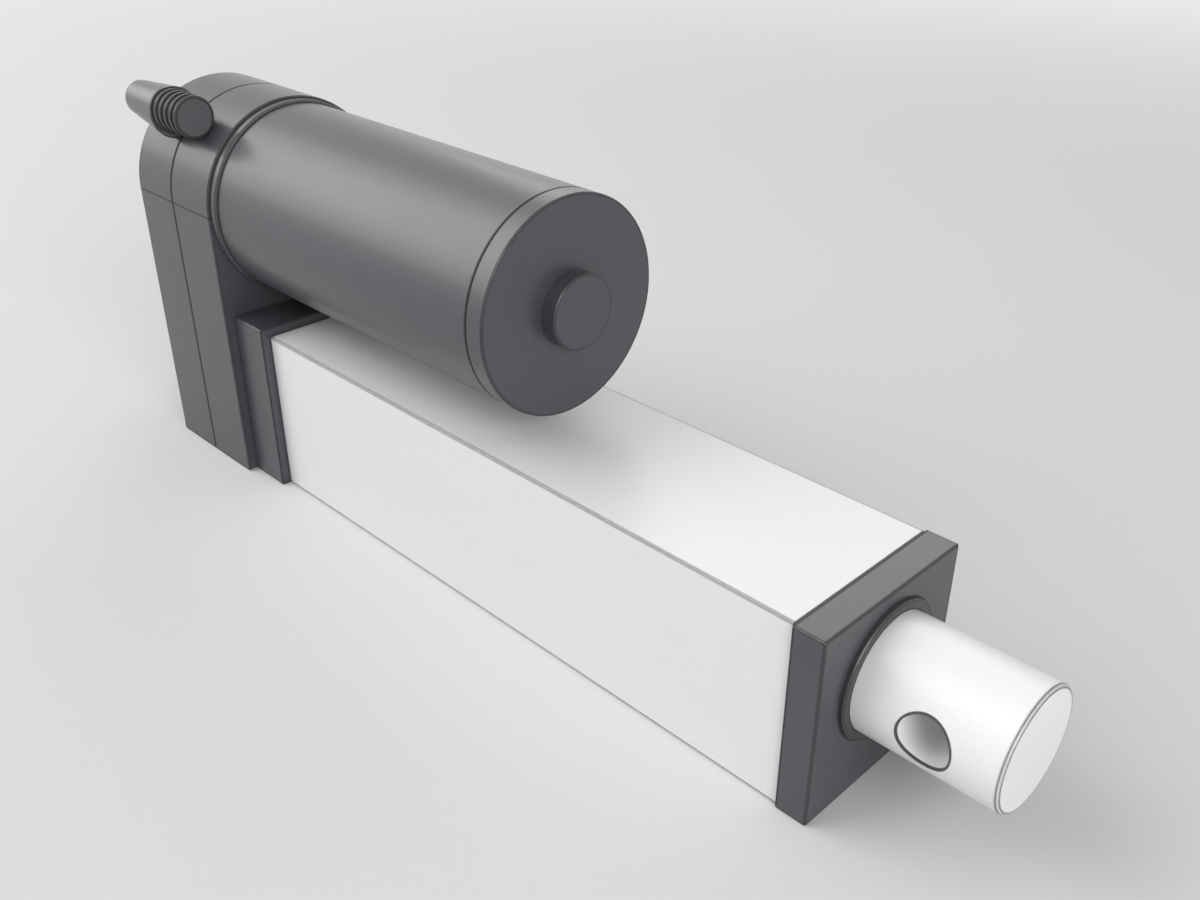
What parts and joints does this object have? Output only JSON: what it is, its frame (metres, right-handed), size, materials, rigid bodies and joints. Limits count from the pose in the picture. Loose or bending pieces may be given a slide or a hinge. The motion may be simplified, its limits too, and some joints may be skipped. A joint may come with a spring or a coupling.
{
  "type": "electric linear actuator",
  "caption": "Electric linear actuator: a motor beside a square tube turns a lead screw through reduction gears and pushes a round rod out, with a cross pivot hole at each end.",
  "frame": {"origin": "centre of the rear pivot hole, on the rod's axis", "axes": "+X along the rod towards its front pivot hole, +Y along both pivot holes, +Z from the rod up to the motor"},
  "size_m": [0.2716, 0.0503, 0.0972],
  "materials": {
    "housing_grey": "satin grey paint over a die casting",
    "motor_grey": "satin grey paint over drawn steel",
    "tube_white": "smooth white powder coat on an extrusion",
    "rod_white": "smooth white satin finish on a steel rod",
    "collar_dark": "moulded wiper",
    "gland_grey": "moulded nylon",
    "seal_rubber": "matt",
    "gasket_rubber": "matt",
    "screw_steel": "zinc plated",
    "bush_bronze": "sintered bronze",
    "bearing_steel": "ground",
    "gear_steel": "machined",
    "gear_nylon": "moulded acetal",
    "screw_shaft_steel": "rolled",
    "nut_acetal": "machined acetal",
    "guide_plastic": "moulded",
    "strip_green": "circuit board",
    "switch_black": "moulded",
    "magnet_ferrite": "fired ferrite",
    "lamination_steel": "stacked laminations",
    "copper": "enamelled copper",
    "brush_carbon": "pressed carbon",
    "brush_plate_brown": "paper laminate"
  },
  "bodies": {
    "housing": {"rear_housing": "housing_grey", "front_housing": "housing_grey", "pivot_bush": "bush_bronze", "housing_gasket": "gasket_rubber", "housing_screws": "screw_steel", "cable_gland": "gland_grey", "gland_seal": "seal_rubber", "tube_adapter": "housing_grey", "adapter_screws": "screw_steel", "outer_tube": "tube_white", "tie_bolts": "screw_steel", "front_cap": "housing_grey", "guide_bushing": "guide_plastic", "wiper_collar": "collar_dark", "switch_strip": "strip_green", "rear_switch": "switch_black", "front_switch": "switch_black", "rear_screw_bush": "bush_bronze", "bearing_outer_ring": "bearing_steel", "idler_pin": "bearing_steel", "motor_flange": "motor_grey", "motor_can": "motor_grey", "motor_end_cap": "motor_grey", "motor_screws": "screw_steel", "motor_bearing": "bearing_steel", "motor_bush": "bush_bronze", "motor_magnets": "magnet_ferrite", "brush_plate": "brush_plate_brown", "brushes": "brush_carbon"},
    "armature": {"motor_shaft": "bearing_steel", "motor_pinion": "gear_steel", "armature_stack": "lamination_steel", "armature_coils": "copper", "commutator": "copper"},
    "idler": {"idler_gear": "gear_nylon", "idler_pinion": "gear_steel"},
    "screw": {"lead_screw": "screw_shaft_steel", "screw_gear": "gear_nylon", "gear_key": "gear_steel", "gear_clip": "screw_steel", "gear_spacer": "screw_shaft_steel", "screw_guide": "guide_plastic", "bearing_inner_ring": "bearing_steel", "bearing_balls": "bearing_steel"},
    "rod": {"rod_tube": "rod_white", "rod_end": "rod_white", "drive_nut": "nut_acetal"}
  },
  "joints": [
    {"name": "motor_spin", "type": "hinge", "parent": "housing", "child": "armature", "pos_m": [0.09, 0, 0.04561], "axis": [-1, 0, 0], "range_deg": [0, 77142.8]},
    {"name": "idler_spin", "type": "hinge", "parent": "housing", "child": "idler", "pos_m": [0.03, 0.0021, 0.02491], "axis": [-1, 0, 0], "range_deg": [-23142.85, 0]},
    {"name": "screw_spin", "type": "hinge", "parent": "housing", "child": "screw", "pos_m": [0.05, 0, 0], "axis": [-1, 0, 0], "range_deg": [0, 9000]},
    {"name": "rod_slide", "type": "slide", "parent": "housing", "child": "rod", "axis": [1, 0, 0], "range_m": [0, 0.1]}
  ],
  "couplings": [
    {"joint": "idler_spin", "follows": "motor_spin", "ratio": -0.3},
    {"joint": "screw_spin", "follows": "motor_spin", "ratio": 0.11667},
    {"joint": "rod_slide", "follows": "motor_spin", "m_per_rad": 0.000074272}
  ]
}
